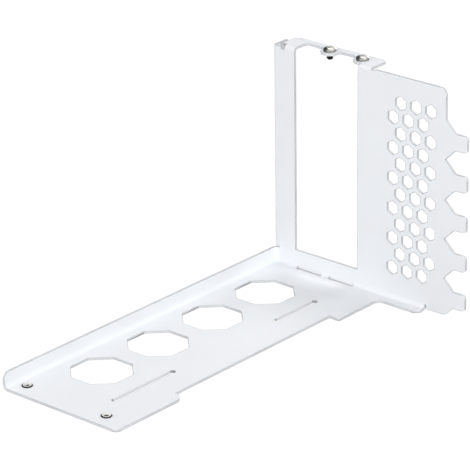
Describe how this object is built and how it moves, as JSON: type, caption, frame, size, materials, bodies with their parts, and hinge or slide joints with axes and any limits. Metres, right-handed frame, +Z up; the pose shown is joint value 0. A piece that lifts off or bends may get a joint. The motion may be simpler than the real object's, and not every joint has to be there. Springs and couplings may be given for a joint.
{
  "type": "vertical graphics card bracket",
  "caption": "Folded steel bracket with a long slotted tray and an upright wall whose window holds a graphics card upright in a computer case.",
  "frame": {"origin": "middle of the bracket's footprint, on the surface that the tray stands on", "axes": "+X along the wall towards its tongues, +Y along the tray from its front edge to the wall, +Z up"},
  "size_m": [0.1194, 0.2074, 0.119],
  "materials": {
    "white_powder_coat": "fine white powder coat, satin",
    "zinc_plated_steel": "bright zinc plate",
    "plain_steel": "turned steel, lightly oiled"
  },
  "bodies": {
    "root": {"bracket_sheet": "white_powder_coat", "card_screw_left": "zinc_plated_steel", "card_screw_right": "zinc_plated_steel", "clinch_nut_left": "plain_steel", "clinch_nut_right": "plain_steel"}
  },
  "joints": []
}
